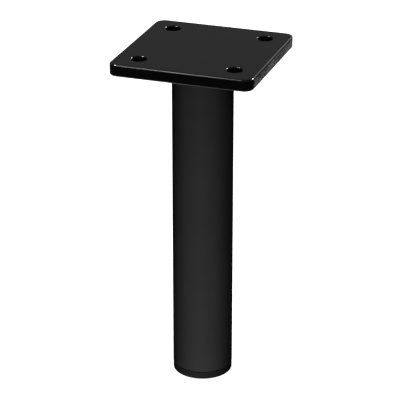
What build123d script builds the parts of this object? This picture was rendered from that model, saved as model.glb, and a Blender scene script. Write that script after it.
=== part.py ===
from build123d import *
import os

# Round furniture leg: a square screw plate welded on top of a steel tube, with a plastic plug as its foot.
# Millimetres, +Z up, with the origin on the floor under the middle of the foot.

# Tube: one inch round steel tube, cut square and deburred
tube_diameter = 25.4
tube_wall = 1.5
tube_length = 137.0
tube_rim_chamfer = 0.4
tube_bore_chamfer = 0.3

# Mounting plate: blanked from flat steel, rolled over along its top edges and deburred underneath
plate_side = 60.0
plate_thickness = 5.0
plate_corner_radius = 4.0
plate_edge_radius = 0.8
plate_deburr = 0.5

# Screw holes, punched from above in each corner of the plate
hole_diameter = 6.5
hole_inset = 10.0
hole_roll_width = 0.4
hole_roll_depth = 0.45
hole_deburr = 0.3

# Fillet weld between the tube and the plate's underside
weld_leg = 2.5

# Foot plug: the flange that stands on the floor
foot_height = 3.0
foot_step = 0.1
foot_tread_chamfer = 0.25
foot_shoulder_chamfer = 0.25
gate_diameter = 4.0
gate_depth = 0.4

# Foot plug: the hollow barrel and its fins, which grip the tube's bore
barrel_wall = 1.6
barrel_nose_length = 2.2
barrel_nose_chamfer = 0.8
fin_count = 3
fin_pitch = 4.0
fin_reach = 1.8
fin_thickness = 0.8
fin_clearance = 0.1

# Places and radii that follow from the sizes above
tube_radius = tube_diameter / 2
bore_radius = tube_radius - tube_wall
hole_radius = hole_diameter / 2
hole_pitch = plate_side - 2 * hole_inset
plate_bottom = foot_height + tube_length
plate_plane = Plane.XY.offset(plate_bottom)
foot_radius = tube_radius - foot_step
fin_radius = bore_radius - fin_clearance
barrel_radius = fin_radius - fin_reach
barrel_bore_radius = barrel_radius - barrel_wall
barrel_top = foot_height + fin_count * fin_pitch + barrel_nose_length

# Punch: the shape of one screw hole, flared where the punch drew the metal in and chamfered where it came out
with BuildPart() as hole_punch:
    with BuildSketch(Plane.XZ):
        with BuildLine():
            flare = EllipticalCenterArc(
                (hole_radius + hole_roll_width, plate_thickness - hole_roll_depth),
                hole_roll_width,
                hole_roll_depth,
                start_angle=90,
                arc_size=90,
            )
            Polyline(
                flare @ 1,
                (hole_radius, hole_deburr),
                (hole_radius + hole_deburr, 0),
                (0, 0),
                (0, plate_thickness),
                flare @ 0,
            )
        make_face()
    revolve(axis=Axis.Z)

# Mounting plate: a rounded square with one punched hole in each corner
with BuildPart(plate_plane) as mounting_plate:
    with BuildSketch(plate_plane):
        RectangleRounded(plate_side, plate_side, plate_corner_radius)
    extrude(amount=plate_thickness)
    chamfer(mounting_plate.faces().sort_by(Axis.Z)[0].edges(), length=plate_deburr)
    fillet(mounting_plate.faces().sort_by(Axis.Z)[-1].edges(), radius=plate_edge_radius)
    with GridLocations(hole_pitch, hole_pitch, 2, 2):
        add(hole_punch.part, mode=Mode.SUBTRACT)

# Tube: its upper end butts against the plate, and its lower end is eased inside and out for the plug
with BuildPart() as leg_tube:
    with BuildSketch(Plane.XY.offset(foot_height)):
        Circle(tube_radius)
        Circle(bore_radius, mode=Mode.SUBTRACT)
    extrude(amount=tube_length)
    lower_rims = leg_tube.faces().sort_by(Axis.Z)[0].edges().sort_by(SortBy.RADIUS)
    chamfer(lower_rims[0], length=tube_bore_chamfer)
    chamfer(lower_rims[-1], length=tube_rim_chamfer)

# Weld: a fillet section turned round the tube, from a toe on the tube to a toe on the plate
with BuildPart() as weld_bead:
    with BuildSketch(Plane.XZ):
        with BuildLine():
            Polyline(
                (tube_radius, plate_bottom - weld_leg),
                (tube_radius, plate_bottom),
                (tube_radius + weld_leg, plate_bottom),
                close=True,
            )
        make_face()
    revolve(axis=Axis.Z)

# Foot plug: flange, hollow barrel and gripping fins, turned from one half section
with BuildPart() as foot_plug:
    with BuildSketch(Plane.XZ) as plug_section:
        with BuildLine():
            outline = [(0, 0), (foot_radius, 0), (foot_radius, foot_height), (barrel_radius, foot_height)]
            for fin in range(fin_count):
                fin_top = foot_height + (fin + 1) * fin_pitch
                outline.append((barrel_radius, fin_top - fin_thickness))
                outline.append((fin_radius, fin_top - fin_thickness))
                outline.append((fin_radius, fin_top))
                outline.append((barrel_radius, fin_top))
            outline.append((barrel_radius, barrel_top))
            outline.append((barrel_bore_radius, barrel_top))
            outline.append((barrel_bore_radius, foot_height))
            outline.append((0, foot_height))
            Polyline(*outline, close=True)
        make_face()
        nose_corner = plug_section.vertices().group_by(Axis.Y)[-1].sort_by(Axis.X)[-1]
        chamfer(nose_corner, length=barrel_nose_chamfer)
        shoulder_corner = plug_section.vertices().group_by(Axis.X)[-1].sort_by(Axis.Y)[-1]
        chamfer(shoulder_corner, length=foot_shoulder_chamfer)
        tread_corner = plug_section.vertices().group_by(Axis.Y)[0].sort_by(Axis.X)[-1]
        chamfer(tread_corner, length=foot_tread_chamfer)
    revolve(axis=Axis.Z)
    Hole(radius=gate_diameter / 2, depth=gate_depth)

# One STEP file for each piece
os.makedirs("parts", exist_ok=True)
mounting_plate.part.label = "mounting_plate"
export_step(mounting_plate.part, "parts/mounting_plate.step")
leg_tube.part.label = "leg_tube"
export_step(leg_tube.part, "parts/leg_tube.step")
weld_bead.part.label = "weld_bead"
export_step(weld_bead.part, "parts/weld_bead.step")
foot_plug.part.label = "foot_plug"
export_step(foot_plug.part, "parts/foot_plug.step")
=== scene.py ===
"""Short round furniture leg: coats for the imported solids, and the fine shape of its weld and its foot."""

import math

import bmesh
import bpy
import numpy as np
from bpy.props import FloatProperty, FloatVectorProperty, IntProperty, PointerProperty
from bpy.types import Operator, Panel, PropertyGroup
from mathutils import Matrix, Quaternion, Vector


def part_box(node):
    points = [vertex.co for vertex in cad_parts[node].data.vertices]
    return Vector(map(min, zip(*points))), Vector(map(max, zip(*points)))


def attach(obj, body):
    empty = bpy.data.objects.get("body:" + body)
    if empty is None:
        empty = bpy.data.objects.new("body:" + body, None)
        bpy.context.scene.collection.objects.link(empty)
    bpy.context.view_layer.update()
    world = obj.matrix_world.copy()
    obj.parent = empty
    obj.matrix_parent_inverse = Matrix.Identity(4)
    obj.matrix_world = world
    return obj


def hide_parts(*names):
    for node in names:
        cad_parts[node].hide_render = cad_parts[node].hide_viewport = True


bl_info = {
    "name": "Round furniture leg",
    "version": (1, 0, 0),
    "blender": (4, 5, 0),
    "location": "3D View > Sidebar > Furniture leg",
    "description": "Coats, weld and foot of a short round furniture leg with a screw plate",
    "category": "Object",
}

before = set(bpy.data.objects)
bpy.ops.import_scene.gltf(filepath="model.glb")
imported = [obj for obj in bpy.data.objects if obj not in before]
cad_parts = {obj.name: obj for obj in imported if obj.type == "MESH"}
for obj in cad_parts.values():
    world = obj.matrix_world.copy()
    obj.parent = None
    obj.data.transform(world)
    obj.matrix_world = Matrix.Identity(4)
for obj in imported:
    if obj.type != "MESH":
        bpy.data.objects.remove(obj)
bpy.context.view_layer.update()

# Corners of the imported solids, in metres
tube_low, tube_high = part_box("leg_tube")
plate_low, plate_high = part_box("mounting_plate")
weld_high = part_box("weld_bead")[1]
plug_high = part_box("foot_plug")[1]

MM = 0.001

# Points of a surface that are closer than this are one point
MERGE_DISTANCE = 1e-7

# Most values of a noise texture lie between these
NOISE_LOW = 0.3
NOISE_HIGH = 0.7

# Places of the Mix node's sockets for two colours, because their names occur more than once
MIX_FACTOR = 0
MIX_FIRST = 6
MIX_SECOND = 7
MIX_RESULT = 2

WHITE = (1.0, 1.0, 1.0, 1.0)


def linear(colour):
    """Linear red, green and blue of an sRGB hex colour such as #2c2c2c."""
    srgb = np.array([int(colour[i : i + 2], 16) for i in (1, 3, 5)]) / 255
    return tuple(np.where(srgb <= 0.04045, srgb / 12.92, ((srgb + 0.055) / 1.055) ** 2.4).tolist())


def length(name, description, default):
    """A length that a user may change, in metres."""
    return FloatProperty(
        name=name, description=description, default=default, min=0, precision=5, unit="LENGTH"
    )


def camera_length(name, description, default):
    """A length inside the camera that a user may change, in millimetres."""
    return FloatProperty(name=name, description=description, default=default, min=1, unit="CAMERA")


def angle(name, description, degrees):
    """An angle that a user may change, given in degrees and kept in radians."""
    return FloatProperty(name=name, description=description, default=math.radians(degrees), subtype="ANGLE")


def colour(name, description, value):
    """A colour that a user may change, given as an sRGB hex value and kept linear."""
    return FloatVectorProperty(
        name=name, description=description, default=linear(value), size=3, min=0, max=1, subtype="COLOR"
    )


def share(name, description, default):
    """A number from nothing to all that a user may change, such as a roughness."""
    return FloatProperty(
        name=name, description=description, default=default, min=0, max=1, subtype="FACTOR"
    )


def multiple(name, description, default):
    """A number of times that a user may change, never under one."""
    return FloatProperty(name=name, description=description, default=default, min=1)


def brightness(name, description, default):
    """Radiance of a lamp that a user may change. A lamp with a radiance of one looks white."""
    return FloatProperty(name=name, description=description, default=default, min=0)


class WeldRunSettings(PropertyGroup):
    """Sizes of the run of weld between the tube and the plate."""

    leg: length("Leg", "Reach of the weld down the tube and out along the plate", weld_high.x - tube_high.x)
    crown: length("Crown", "Height of the weld's face over the straight line between its toes", 0.22 * MM)
    ripple_pitch: length("Ripple pitch", "Distance from one ripple to the next along the run", 1.3 * MM)
    ripple_height: length("Ripple height", "Height of a ripple's crest over its valley", 0.16 * MM)
    lap_height: length("Lap height", "Extra height where the end of the run covers its start", 0.35 * MM)
    lap_place: angle("Lap place", "Where round the tube the run starts and ends", 118)


class FootPlugSettings(PropertyGroup):
    """Sizes of the moulded plug that closes the tube and stands on the floor."""

    tread_radius: length("Tread rounding", "Rounding of the edge that stands on the floor", 0.25 * MM)
    shoulder_radius: length("Shoulder rounding", "Rounding of the flange's edge under the tube", 0.12 * MM)
    gate_radius: length("Gate radius", "Radius of the round sink in the middle of the underside", 2.0 * MM)
    gate_depth: length("Gate depth", "Depth of the round sink in the middle of the underside", 0.4 * MM)
    barrel_radius: length("Barrel radius", "Outer radius of the hollow barrel inside the tube", 9.3 * MM)
    barrel_wall: length("Barrel wall", "Wall of the hollow barrel", 1.6 * MM)
    fin_radius: length("Fin radius", "Outer radius of the fins that grip the tube's bore", 11.1 * MM)
    fin_pitch: length("Fin pitch", "Distance from one fin to the next", 4.0 * MM)
    fin_thickness: length("Fin thickness", "Thickness of one fin", 0.8 * MM)
    fin_count: IntProperty(name="Fins", description="Number of fins on the barrel", default=3, min=1)


class FinishSettings(PropertyGroup):
    """Colours and gloss of the two coats and the foot's plastic."""

    plate_colour: colour("Plate coat", "Colour of the plate's semi-gloss coat", "#040404")
    plate_roughness: share("Plate roughness", "Roughness of the plate's semi-gloss coat", 0.15)
    sheared_dulling: multiple("Sheared dulling", "How many times rougher the plate's sheared sides are", 1.3)
    ground_dulling: multiple("Ground dulling", "How many times rougher its ground lower edges are", 4.0)
    tube_colour: colour("Tube coat", "Colour of the tube's matt coat", "#3c3c3c")
    tube_roughness: share("Tube roughness", "Roughness of the tube's matt coat", 0.7)
    foot_colour: colour("Foot plastic", "Colour of the foot's plastic", "#2d2d2d")
    foot_roughness: share("Foot roughness", "Roughness of the foot's plastic", 0.55)
    scuff_colour: colour("Foot scuffs", "Colour of the rubbed places on the foot's tread", "#545454")
    # Painted shade: this tint darkens the tube and the foot where the view grazes them, for the shade on
    # their flanks
    flank_shade_tint: colour("Flank shade", "Tint of the thin skin on the tube and the foot", "#9a9a9a")


class StageSettings(PropertyGroup):
    """Camera, floor and light of the picture."""

    camera_azimuth: angle("Camera azimuth", "Turn of the camera to the right of the leg's front", 19.045)
    camera_elevation: angle("Camera elevation", "Height of the camera over the horizon", 23.791)
    camera_distance: length("Camera distance", "Distance from the camera to its aim", 790.3 * MM)
    camera_lens: camera_length("Lens", "Focal length of the camera", 170.3)
    camera_sensor: camera_length("Sensor", "Width of the camera's sensor", 36)
    aim_height: length("Aim height", "Height of the point that the camera aims at", 78.2 * MM)
    aim_side: FloatProperty(
        name="Aim side",
        description="How far to the right of the leg's axis the camera aims",
        default=-1.158 * MM,
        precision=5,
        unit="LENGTH",
    )
    sheet_left: length("Sheet left", "Reach of the white sheet to the left of the leg's axis", 0.31)
    sheet_right: length("Sheet right", "Reach of the white sheet to the right of the leg's axis", 0.11)
    sheet_front: length("Sheet front", "Reach of the white sheet in front of the leg's axis", 0.07)
    sheet_back: length("Sheet back", "Reach of the white sheet behind the leg's axis", 0.6)
    sheet_colour: colour("Sheet", "Colour of the sheet under the leg", "#808080")
    table_reach: length("Table reach", "Reach of the table to each side of the leg's axis", 4)
    table_colour: colour("Table", "Colour of the table under the sheet", "#202020")
    tent_radius: length("Tent radius", "Radius of the round tent over the leg", 3)
    tent_colour: colour("Tent", "Colour of the light that comes through the tent's cloth", "#6a6a6a")
    front_light: brightness("Front light", "Radiance of the low softbox in front", 340)
    edge_light: brightness("Edge light", "Radiance of the tall softbox front left", 7.3)
    left_light: brightness("Left light", "Radiance of the high softbox at the left", 75)
    right_light: brightness("Right light", "Radiance of the softbox behind right", 84)
    back_light: brightness("Back light", "Radiance of the low softbox behind", 0.8)
    rear_light: brightness("Rear light", "Radiance of the two fills behind", 40)


def surface(name, grid, wrap_rows=False, wrap_columns=False):
    """Object with one quad between each four neighbours of a grid of points.

    The grid's shape is rows by columns by three. Points that fall together, as at a pole, are merged, and
    the faces are turned outwards.
    """
    index = np.arange(grid.shape[0] * grid.shape[1]).reshape(grid.shape[:2])
    if wrap_rows:
        index = np.vstack([index, index[:1]])
    if wrap_columns:
        index = np.hstack([index, index[:, :1]])
    quads = np.stack([index[:-1, :-1], index[:-1, 1:], index[1:, 1:], index[1:, :-1]], axis=-1)
    mesh = bpy.data.meshes.new(name)
    mesh.from_pydata(grid.reshape(-1, 3).tolist(), [], quads.reshape(-1, 4).tolist())
    shape = bmesh.new()
    shape.from_mesh(mesh)
    bmesh.ops.remove_doubles(shape, verts=shape.verts, dist=MERGE_DISTANCE)
    bmesh.ops.recalc_face_normals(shape, faces=shape.faces)
    shape.to_mesh(mesh)
    shape.free()
    mesh.shade_smooth()
    piece = bpy.data.objects.new(name, mesh)
    bpy.context.scene.collection.objects.link(piece)
    return piece


def rounded(corners, radii, steps):
    """Outline whose inner corners are turned into the circle arcs that touch both of their sides.

    An arc is a rational quadratic curve between its two touching points. It is pulled towards the corner,
    and the weight of that pull is the cosine of half the angle that the outline turns through.
    """
    middle = corners[1:-1]
    back = corners[:-2] - middle
    ahead = corners[2:] - middle
    back /= np.linalg.norm(back, axis=1, keepdims=True)
    ahead /= np.linalg.norm(ahead, axis=1, keepdims=True)
    half_turn = (np.pi - np.arccos((back * ahead).sum(axis=1))) / 2
    touch = (radii * np.tan(half_turn))[:, None]
    pull = np.cos(half_turn)[:, None]
    t = np.linspace(0, 1, steps)[:, None, None]
    start = (1 - t) ** 2
    corner = 2 * t * (1 - t) * pull
    end = t**2
    arcs = start * (middle + back * touch) + corner * middle + end * (middle + ahead * touch)
    arcs /= start + corner + end
    return np.vstack([corners[:1], arcs.swapaxes(0, 1).reshape(-1, 2), corners[-1:]])


def weld_grid(weld, around=720, across=21):
    """Points of a rippled weld, by the angle round the tube and the place across the weld's face.

    The face is the straight line from the toe on the tube to the toe on the plate, and both toes sink in a
    little. It is raised by an arch, four times the place times one minus the place. The arch's height is the
    crown, plus a bell curve where the run laps its own start, plus scallops: the size of the cosine of half
    a phase that counts the ripples round the tube and lags behind towards both toes, which bows each ripple.
    Two slow waves round the tube make the leg waver. The face leans by 45 degrees, so a rise goes out and
    down alike.
    """
    toe_sink = 0.03
    toe_lag = 2.2
    mean_leg = 0.98
    lap_angle = 0.16
    turn = np.linspace(0, 2 * np.pi, around, endpoint=False)[:, None]
    place = np.linspace(-toe_sink, 1 + toe_sink, across)[None, :]
    long_wave = 0.02 * np.sin(5 * turn + 0.8)
    short_wave = 0.015 * np.sin(9 * turn)
    leg = weld.leg * (mean_leg + long_wave + short_wave)
    ripples = round(2 * np.pi * (tube_high.x + weld.leg / 2) / weld.ripple_pitch)
    scallops = np.abs(np.cos((ripples * turn + toe_lag * (2 * place - 1) ** 2) / 2))
    from_lap = (turn - weld.lap_place + np.pi) % (2 * np.pi) - np.pi
    lap = np.exp(-((from_lap / lap_angle) ** 2))
    arch = np.clip(4 * place * (1 - place), 0, None)
    rise = arch * (weld.crown + weld.lap_height * lap + weld.ripple_height * scallops) / math.sqrt(2)
    radius = tube_high.x + leg * place + rise
    height = plate_low.z - leg * (1 - place) - rise
    root_radius = np.full((around, 1), radius[:, 0].min())
    root_height = np.full((around, 1), height[:, -1].max())
    radius = np.hstack([radius, root_radius])
    height = np.hstack([height, root_height])
    return np.stack([radius * np.cos(turn), radius * np.sin(turn), height], axis=-1)


def plug_grid(plug, around=160, arc_steps=7):
    """Points of the plug, by the place along its half outline and the angle round its axis.

    The outline runs from the sunk gate over the tread and the shoulder, in and out round each fin, over the
    barrel's end and down its bore. Its corners are rounded, and the outline is turned round the axis.
    """
    flange_radius = plug_high.x
    flange_top = tube_low.z
    barrel_top = plug_high.z
    bore_radius = plug.barrel_radius - plug.barrel_wall
    fin_tops = flange_top + plug.fin_pitch * np.arange(1, plug.fin_count + 1)
    fin_radii = np.array([plug.barrel_radius, plug.fin_radius, plug.fin_radius, plug.barrel_radius])
    fin_heights = np.array([-plug.fin_thickness, -plug.fin_thickness, 0, 0])
    fins = np.stack(np.broadcast_arrays(fin_radii, fin_tops[:, None] + fin_heights), axis=-1).reshape(-1, 2)
    flange = [
        (0, plug.gate_depth),
        (plug.gate_radius, plug.gate_depth),
        (plug.gate_radius, 0),
        (flange_radius, 0),
        (flange_radius, flange_top),
        (plug.barrel_radius, flange_top),
    ]
    barrel = [
        (plug.barrel_radius, barrel_top),
        (bore_radius, barrel_top),
        (bore_radius, flange_top),
        (0, flange_top),
    ]
    small_radius = 0.2 * MM
    nose_radius = 0.8 * MM
    bore_root_radius = 1.0 * MM
    flange_radii = [small_radius, small_radius, plug.tread_radius, plug.shoulder_radius, small_radius]
    barrel_radii = [nose_radius, small_radius, bore_root_radius]
    radii = np.array(flange_radii + [small_radius] * len(fins) + barrel_radii)
    outline = rounded(np.vstack([flange, fins, barrel]), radii, arc_steps)
    turn = np.linspace(0, 2 * np.pi, around, endpoint=False)[None, :]
    radius = outline[:, :1]
    height = np.broadcast_to(outline[:, 1:], (len(outline), around))
    return np.stack([radius * np.cos(turn), radius * np.sin(turn), height], axis=-1)


def node(tree, kind, inputs=None, **settings):
    """Adds a node with its settings. An output socket in inputs is linked, and any other value is set."""
    made = tree.nodes.new(kind)
    for name, value in settings.items():
        setattr(made, name, value)
    for name, value in (inputs or {}).items():
        if isinstance(value, bpy.types.NodeSocket):
            tree.links.new(value, made.inputs[name])
        else:
            made.inputs[name].default_value = value
    return made


def blank_material(name):
    """Material with an empty node tree, and that tree."""
    material = bpy.data.materials.new(name)
    material.use_nodes = True
    material.node_tree.nodes.clear()
    return material, material.node_tree


def tone(value, factor=1.0):
    """Colour with its alpha, made lighter or darker by a factor."""
    return tuple(part * factor for part in value) + (1.0,)


def flank_shading_layer(finish):
    """Shader values of a tinted top layer with no gloss, whose tint paints shade on flanks where the view
    grazes them.
    """
    return {
        "Specular IOR Level": 0.0,
        "Coat Weight": 1.0,
        "Coat Roughness": 1.0,
        "Coat IOR": 1.04,
        # Painted shade: the tint darkens the surface more where the view grazes it
        "Coat Tint": tone(finish.flank_shade_tint),
    }


def semi_gloss_powder_coat(finish):
    """Semi-gloss black powder coat on the plate, sprayed on as dust and melted to a skin.

    It flows out almost flat, so the eye sees a deep black that mirrors its surround at a low angle, with a
    faint orange peel and slow changes of gloss and depth. On the sheared sides and in the punched holes the
    coat lies thin on rougher steel and is duller. On the ground lower edges and the underside it is duller
    still.
    """
    peel_size = 2.0 * MM
    peel_depth = 0.02 * MM
    haze_size = 14.0 * MM
    haze_least = 0.85
    haze_most = 1.15
    ground_start = plate_low.z + 0.45 * MM
    ground_end = plate_low.z + 0.6 * MM
    sheared_start = plate_high.z - 1.0 * MM
    sheared_end = plate_high.z - 0.8 * MM
    material, tree = blank_material("semi_gloss_black_powder_coat")
    spot = node(tree, "ShaderNodeTexCoord").outputs["Object"]
    peel = node(tree, "ShaderNodeTexNoise", {"Vector": spot, "Scale": 1 / peel_size, "Detail": 1.0})
    haze = node(tree, "ShaderNodeTexNoise", {"Vector": spot, "Scale": 1 / haze_size, "Detail": 3.0})
    relief = node(
        tree,
        "ShaderNodeBump",
        {"Height": peel.outputs["Fac"], "Strength": 0.25, "Distance": peel_depth},
    )
    gloss = node(
        tree,
        "ShaderNodeMapRange",
        {
            "Value": haze.outputs["Fac"],
            "From Min": NOISE_LOW,
            "From Max": NOISE_HIGH,
            "To Min": finish.plate_roughness * haze_least,
            "To Max": finish.plate_roughness * haze_most,
        },
    )
    height = node(tree, "ShaderNodeSeparateXYZ", {"Vector": spot}).outputs["Z"]
    ground = node(
        tree,
        "ShaderNodeMapRange",
        {
            "Value": height,
            "From Min": ground_start,
            "From Max": ground_end,
            "To Min": finish.ground_dulling,
            "To Max": finish.sheared_dulling,
        },
    )
    dulling = node(
        tree,
        "ShaderNodeMapRange",
        {
            "Value": height,
            "From Min": sheared_start,
            "From Max": sheared_end,
            "To Min": ground.outputs["Result"],
            "To Max": 1.0,
        },
    )
    dulled = node(
        tree,
        "ShaderNodeMath",
        {0: gloss.outputs["Result"], 1: dulling.outputs["Result"]},
        operation="MULTIPLY",
    )
    shade = node(
        tree,
        "ShaderNodeMix",
        {
            MIX_FACTOR: haze.outputs["Fac"],
            MIX_FIRST: tone(finish.plate_colour, haze_least),
            MIX_SECOND: tone(finish.plate_colour, haze_most),
        },
        data_type="RGBA",
    )
    skin = node(
        tree,
        "ShaderNodeBsdfPrincipled",
        {
            "Base Color": shade.outputs[MIX_RESULT],
            "Roughness": dulled.outputs["Value"],
            "Normal": relief.outputs["Normal"],
        },
    )
    node(tree, "ShaderNodeOutputMaterial", {"Surface": skin.outputs["BSDF"]})
    return material


def matt_powder_coat(finish):
    """Matt black powder coat on the tube and the weld.

    It melts to a finely rough skin, so the eye sees a soft even grey-black with no clear reflection. Its
    tinted top layer makes it darker where the view looks along the surface, which is painted shade on the
    flanks. The grit is about 0.15 mm and is drawn at 0.5 mm, because finer grit would not show in the
    picture.
    """
    grit_size = 0.5 * MM
    grit_depth = 0.03 * MM
    cloud_size = 18.0 * MM
    mottle_low = 0.7
    mottle_high = 1.3
    darkest = 0.92
    palest = 1.08
    smoothest = 0.95
    roughest = 1.05
    material, tree = blank_material("matt_black_powder_coat")
    spot = node(tree, "ShaderNodeTexCoord").outputs["Object"]
    grit = node(tree, "ShaderNodeTexNoise", {"Vector": spot, "Scale": 1 / grit_size, "Detail": 2.0})
    cloud = node(tree, "ShaderNodeTexNoise", {"Vector": spot, "Scale": 1 / cloud_size, "Detail": 2.0})
    relief = node(
        tree,
        "ShaderNodeBump",
        {"Height": grit.outputs["Fac"], "Strength": 0.35, "Distance": grit_depth},
    )
    mottle = node(
        tree,
        "ShaderNodeMath",
        {0: grit.outputs["Fac"], 1: cloud.outputs["Fac"]},
        operation="ADD",
    )
    depth = node(
        tree,
        "ShaderNodeMapRange",
        {"Value": mottle.outputs["Value"], "From Min": mottle_low, "From Max": mottle_high},
    )
    shade = node(
        tree,
        "ShaderNodeMix",
        {
            MIX_FACTOR: depth.outputs["Result"],
            MIX_FIRST: tone(finish.tube_colour, darkest),
            MIX_SECOND: tone(finish.tube_colour, palest),
        },
        data_type="RGBA",
    )
    gloss = node(
        tree,
        "ShaderNodeMapRange",
        {
            "Value": cloud.outputs["Fac"],
            "From Min": NOISE_LOW,
            "From Max": NOISE_HIGH,
            "To Min": finish.tube_roughness * smoothest,
            "To Max": finish.tube_roughness * roughest,
        },
    )
    skin = node(
        tree,
        "ShaderNodeBsdfPrincipled",
        {
            "Base Color": shade.outputs[MIX_RESULT],
            "Roughness": gloss.outputs["Result"],
            "Normal": relief.outputs["Normal"],
            # Painted shade on the tube's flanks, from the tinted top layer
            **flank_shading_layer(finish),
        },
    )
    node(tree, "ShaderNodeOutputMaterial", {"Surface": skin.outputs["BSDF"]})
    return material


def moulded_polyethylene(finish):
    """Black polyethylene of the foot, moulded in an etched steel mould.

    It is softer and a little darker than the coat above it, with the mould's fine texture and the same
    tinted top layer, which paints shade on its flanks where the view grazes them. Its tread is rubbed grey
    in short streaks where it has stood on floors.
    """
    etch_size = 0.4 * MM
    etch_depth = 0.03 * MM
    streak_size = 4.0 * MM
    streak_turn = 0.6
    streak_narrowing = 5
    streak_low = 0.48
    streak_high = 0.68
    tread_low = 0.1 * MM
    tread_high = 0.6 * MM
    scuff_roughening = 1.4
    material, tree = blank_material("moulded_black_polyethylene")
    spot = node(tree, "ShaderNodeTexCoord").outputs["Object"]
    height = node(tree, "ShaderNodeSeparateXYZ", {"Vector": spot}).outputs["Z"]
    etch = node(tree, "ShaderNodeTexNoise", {"Vector": spot, "Scale": 1 / etch_size, "Detail": 1.0})
    streak_spot = node(
        tree,
        "ShaderNodeMapping",
        {"Vector": spot, "Rotation": (0, 0, streak_turn), "Scale": (1, streak_narrowing, 1)},
    )
    streak = node(
        tree,
        "ShaderNodeTexNoise",
        {"Vector": streak_spot.outputs["Vector"], "Scale": 1 / streak_size, "Detail": 4.0},
    )
    relief = node(
        tree,
        "ShaderNodeBump",
        {"Height": etch.outputs["Fac"], "Strength": 0.3, "Distance": etch_depth},
    )
    tread = node(
        tree,
        "ShaderNodeMapRange",
        {"Value": height, "From Min": tread_low, "From Max": tread_high, "To Min": 1.0, "To Max": 0.0},
    )
    worn = node(
        tree,
        "ShaderNodeMapRange",
        {"Value": streak.outputs["Fac"], "From Min": streak_low, "From Max": streak_high},
    )
    rubbed = node(
        tree,
        "ShaderNodeMath",
        {0: tread.outputs["Result"], 1: worn.outputs["Result"]},
        operation="MULTIPLY",
    )
    shade = node(
        tree,
        "ShaderNodeMix",
        {
            MIX_FACTOR: rubbed.outputs["Value"],
            MIX_FIRST: tone(finish.foot_colour),
            MIX_SECOND: tone(finish.scuff_colour),
        },
        data_type="RGBA",
    )
    gloss = node(
        tree,
        "ShaderNodeMapRange",
        {
            "Value": rubbed.outputs["Value"],
            "To Min": finish.foot_roughness,
            "To Max": finish.foot_roughness * scuff_roughening,
        },
    )
    skin = node(
        tree,
        "ShaderNodeBsdfPrincipled",
        {
            "Base Color": shade.outputs[MIX_RESULT],
            "Roughness": gloss.outputs["Result"],
            "Normal": relief.outputs["Normal"],
            # Painted shade on the foot's flanks, from the tinted top layer
            **flank_shading_layer(finish),
        },
    )
    node(tree, "ShaderNodeOutputMaterial", {"Surface": skin.outputs["BSDF"]})
    return material


def white_paper(stage):
    """Plain paper. The camera and reflections see it white, and all other light sees its colour.

    The white is a glow just under full white, and a grey that the lamps light and the leg's shadow darkens.
    """
    glow_strength = 0.95
    lit_grey = 0.4
    material, tree = blank_material("white_paper")
    ray = node(tree, "ShaderNodeLightPath").outputs
    seen = node(
        tree,
        "ShaderNodeMath",
        {0: ray["Is Camera Ray"], 1: ray["Is Glossy Ray"]},
        operation="MAXIMUM",
    )
    shown = node(
        tree,
        "ShaderNodeMath",
        {0: seen.outputs["Value"], 1: ray["Is Transmission Ray"]},
        operation="MAXIMUM",
    )
    paper = node(tree, "ShaderNodeBsdfDiffuse", {"Color": tone(stage.sheet_colour)})
    glow = node(tree, "ShaderNodeEmission", {"Color": WHITE, "Strength": glow_strength})
    matte = node(tree, "ShaderNodeBsdfDiffuse", {"Color": (lit_grey, lit_grey, lit_grey, 1)})
    white = node(tree, "ShaderNodeAddShader", {0: glow.outputs["Emission"], 1: matte.outputs["BSDF"]})
    mixed = node(
        tree,
        "ShaderNodeMixShader",
        {0: shown.outputs["Value"], 1: paper.outputs["BSDF"], 2: white.outputs["Shader"]},
    )
    node(tree, "ShaderNodeOutputMaterial", {"Surface": mixed.outputs["Shader"]})
    return material


def table_paint(stage):
    """Dull dark paint of the table under the sheet."""
    material, tree = blank_material("dark_table_paint")
    paint = node(tree, "ShaderNodeBsdfDiffuse", {"Color": tone(stage.table_colour)})
    node(tree, "ShaderNodeOutputMaterial", {"Surface": paint.outputs["BSDF"]})
    return material


def tent_cloth(stage):
    """Thin grey cloth of the tent, with light from all round behind it."""
    material, tree = blank_material("grey_tent_cloth")
    cloth = node(tree, "ShaderNodeEmission", {"Color": tone(stage.tent_colour), "Strength": 1.0})
    node(tree, "ShaderNodeOutputMaterial", {"Surface": cloth.outputs["Emission"]})
    return material


def tent_grid(radius, rings=12, around=48, skirt=0.02):
    """Points of a half globe, by the rise of a ring over the horizon and the angle round the axis.

    The lowest ring lies under the horizon by the angle of the skirt, which closes the tent to the table.
    """
    rise = np.linspace(-skirt, np.pi / 2, rings)[:, None]
    turn = np.linspace(0, 2 * np.pi, around, endpoint=False)[None, :]
    height = np.broadcast_to(np.sin(rise), (rings, around))
    return radius * np.stack([np.cos(rise) * np.cos(turn), np.cos(rise) * np.sin(turn), height], axis=-1)


def level_rectangle(name, left, right, front, back, height):
    """Level rectangle that reaches that far to each side of the leg's axis."""
    x, y = np.meshgrid(np.array([-left, right]), np.array([-front, back]))
    return surface(name, np.stack([x, y, np.full((2, 2), height)], axis=-1))


def lay_floor(stage):
    """White sheet under the leg, on a dark table in a grey tent.

    The camera doesn't see the table and the tent. They give the leg an even dim surround, which the plate's
    gloss mirrors.
    """
    table_drop = 1 * MM
    sheet = level_rectangle(
        "sheet", stage.sheet_left, stage.sheet_right, stage.sheet_front, stage.sheet_back, 0
    )
    sheet.data.materials.append(white_paper(stage))
    reach = stage.table_reach
    table = level_rectangle("table", reach, reach, reach, reach, -table_drop)
    table.data.materials.append(table_paint(stage))
    table.visible_camera = False
    tent = surface("tent", tent_grid(stage.tent_radius), wrap_columns=True)
    tent.data.materials.append(tent_cloth(stage))
    tent.visible_camera = False


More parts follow.
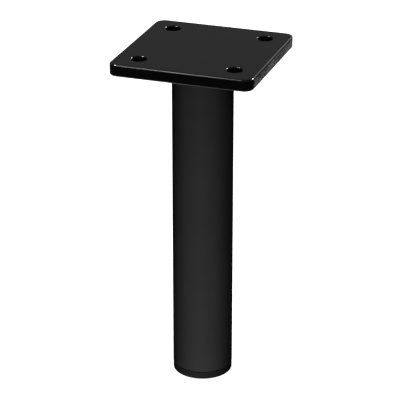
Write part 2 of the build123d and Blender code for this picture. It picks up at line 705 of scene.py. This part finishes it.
def white_room():
    """Plain white world round the tent. Only the camera sees it, because the tent hides it from the leg."""
    world = bpy.data.worlds.new("white_room")
    world.use_nodes = True
    world.node_tree.nodes["Background"].inputs["Color"].default_value = WHITE
    world.node_tree.nodes["Background"].inputs["Strength"].default_value = 1.0
    return world


def direction(azimuth, elevation):
    """Unit vector from the leg towards a place, by its turn to the right of the front and its height."""
    return Vector(
        (
            math.sin(azimuth) * math.cos(elevation),
            -math.cos(azimuth) * math.cos(elevation),
            math.sin(elevation),
        )
    )


def softbox(
    name,
    radiance,
    azimuth,
    elevation,
    distance,
    width,
    height,
    aim=plate_high.z,
    lean=0,
    spread=180,
    lit=True,
    mirrored=True,
):
    """Rectangular soft lamp that faces the leg's axis at the height of its aim, with angles in degrees.

    Its power is its radiance times pi times its area. The lean turns it in its own plane. A grid in front of
    it narrows its light to the spread, and takes a share of the power that leaves the middle of the beam as
    it was. Where it isn't lit, it lights no matt surface, and where it isn't mirrored, no gloss shows it.
    """
    half = math.radians(spread) / 2
    lamp = bpy.data.lights.new(name, "AREA")
    lamp.shape = "RECTANGLE"
    lamp.size = width
    lamp.size_y = height
    lamp.energy = radiance * math.pi * width * height * (1 - half / math.tan(half))
    lamp.spread = 2 * half
    holder = bpy.data.objects.new(name, lamp)
    outward = direction(math.radians(azimuth), math.radians(elevation))
    facing = (-outward).to_track_quat("-Z", "Y") @ Quaternion((0, 0, 1), math.radians(lean))
    holder.location = Vector((0, 0, aim)) + outward * distance
    holder.rotation_euler = facing.to_euler()
    holder.visible_camera = False
    holder.visible_diffuse = lit
    holder.visible_glossy = mirrored
    bpy.context.scene.collection.objects.link(holder)


def hang_lamps(stage):
    """Lamps that light the matt tube and foot, and lamps that are only mirrored in the glossy plate."""
    # Main light on the tube, aimed under the floor so that its beam fades towards the plate
    softbox(
        "front_softbox",
        stage.front_light,
        azimuth=5,
        elevation=8,
        distance=1.3,
        width=0.45,
        height=0.14,
        aim=-0.11,
        spread=34,
        mirrored=False,
    )
    # Bright line along the plate's front edge
    softbox(
        "edge_softbox",
        stage.edge_light,
        azimuth=-27.7,
        elevation=46.5,
        distance=1.1,
        width=0.09,
        height=0.75,
        lean=21,
        lit=False,
    )
    # Glints at the back of the hole rims
    softbox(
        "left_softbox",
        stage.left_light,
        azimuth=-62,
        elevation=55,
        distance=1.2,
        width=0.24,
        height=0.24,
        lit=False,
    )
    # Glints at the left of the hole rims
    softbox(
        "right_softbox",
        stage.right_light,
        azimuth=144,
        elevation=29,
        distance=1.2,
        width=0.26,
        height=0.26,
        lit=False,
    )
    # Bright line along the plate's right edge
    softbox(
        "back_softbox",
        stage.back_light,
        azimuth=165,
        elevation=16,
        distance=1.2,
        width=0.42,
        height=0.46,
        lit=False,
    )
    # Soft light on the back of the tube
    for name, azimuth in (("rear_right_softbox", 150), ("rear_left_softbox", -122)):
        softbox(
            name,
            stage.rear_light,
            azimuth=azimuth,
            elevation=25,
            distance=1.2,
            width=0.4,
            height=0.4,
            mirrored=False,
        )


def place_camera(stage):
    """Camera at its turn, height and distance from the point beside the leg's axis that it aims at."""
    turn = stage.camera_azimuth
    towards = direction(turn, stage.camera_elevation)
    aside = Vector((math.cos(turn), math.sin(turn), 0)) * stage.aim_side
    lens = bpy.data.cameras.new("camera")
    lens.lens = stage.camera_lens
    lens.sensor_width = stage.camera_sensor
    camera = bpy.data.objects.new("camera", lens)
    camera.location = Vector((0, 0, stage.aim_height)) + aside + towards * stage.camera_distance
    camera.rotation_euler = (-towards).to_track_quat("-Z", "Y").to_euler()
    bpy.context.scene.collection.objects.link(camera)
    return camera


class LEG_OT_coat_steel(Operator):
    """Coats the plate and the tube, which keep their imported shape"""

    bl_idname = "leg.coat_steel"
    bl_label = "Coat plate and tube"

    def execute(self, context):
        finish = context.scene.leg_finish
        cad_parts["mounting_plate"].material_slots[0].material = semi_gloss_powder_coat(finish)
        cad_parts["leg_tube"].material_slots[0].material = matt_powder_coat(finish)
        return {"FINISHED"}


class LEG_OT_lay_weld_run(Operator):
    """Lays the rippled run of weld that joins the tube to the plate"""

    bl_idname = "leg.lay_weld_run"
    bl_label = "Lay weld run"

    def execute(self, context):
        crease = math.radians(60)
        run = surface("weld_run", weld_grid(context.scene.leg_weld), wrap_rows=True, wrap_columns=True)
        run.data.set_sharp_from_angle(angle=crease)
        run.data.materials.append(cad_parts["leg_tube"].material_slots[0].material)
        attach(run, "root")
        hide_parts("weld_bead")
        return {"FINISHED"}


class LEG_OT_mould_foot_plug(Operator):
    """Moulds the plug that closes the tube and stands on the floor"""

    bl_idname = "leg.mould_foot_plug"
    bl_label = "Mould foot plug"

    def execute(self, context):
        plug = surface("moulded_plug", plug_grid(context.scene.leg_foot), wrap_columns=True)
        plug.modifiers.new("flat faces", "WEIGHTED_NORMAL")
        plug.data.materials.append(moulded_polyethylene(context.scene.leg_finish))
        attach(plug, "root")
        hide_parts("foot_plug")
        return {"FINISHED"}


class LEG_OT_set_stage(Operator):
    """Sets the floor, the light and the camera of the picture"""

    bl_idname = "leg.set_stage"
    bl_label = "Set stage"

    def execute(self, context):
        scene = context.scene
        stage = scene.leg_stage
        scene.view_settings.view_transform = "Standard"
        lay_floor(stage)
        scene.world = white_room()
        hang_lamps(stage)
        scene.camera = place_camera(stage)
        return {"FINISHED"}


class LEG_PT_sidebar(Panel):
    """Lists the leg's pieces and their settings in the 3D view's sidebar."""

    bl_idname = "LEG_PT_sidebar"
    bl_label = "Furniture leg"
    bl_space_type = "VIEW_3D"
    bl_region_type = "UI"
    bl_category = "Furniture leg"

    def draw(self, context):
        for operator, settings in STEPS:
            box = self.layout.box()
            box.operator(operator.bl_idname)
            group = getattr(context.scene, settings)
            for name in group.__annotations__:
                box.prop(group, name)


STEPS = (
    (LEG_OT_coat_steel, "leg_finish"),
    (LEG_OT_lay_weld_run, "leg_weld"),
    (LEG_OT_mould_foot_plug, "leg_foot"),
    (LEG_OT_set_stage, "leg_stage"),
)

SETTINGS = {
    "leg_finish": FinishSettings,
    "leg_weld": WeldRunSettings,
    "leg_foot": FootPlugSettings,
    "leg_stage": StageSettings,
}


def register():
    """Registers the settings, the operators and the panel."""
    for name, group in SETTINGS.items():
        bpy.utils.register_class(group)
        setattr(bpy.types.Scene, name, PointerProperty(type=group))
    for operator, _ in STEPS:
        bpy.utils.register_class(operator)
    bpy.utils.register_class(LEG_PT_sidebar)


def unregister():
    """Takes the panel, the operators and the settings away again."""
    bpy.utils.unregister_class(LEG_PT_sidebar)
    for operator, _ in STEPS:
        bpy.utils.unregister_class(operator)
    for name, group in SETTINGS.items():
        delattr(bpy.types.Scene, name)
        bpy.utils.unregister_class(group)


def main():
    """Makes every piece and the stage in order."""
    register()
    bpy.ops.leg.coat_steel()
    bpy.ops.leg.lay_weld_run()
    bpy.ops.leg.mould_foot_plug()
    bpy.ops.leg.set_stage()


if __name__ == "__main__":
    main()
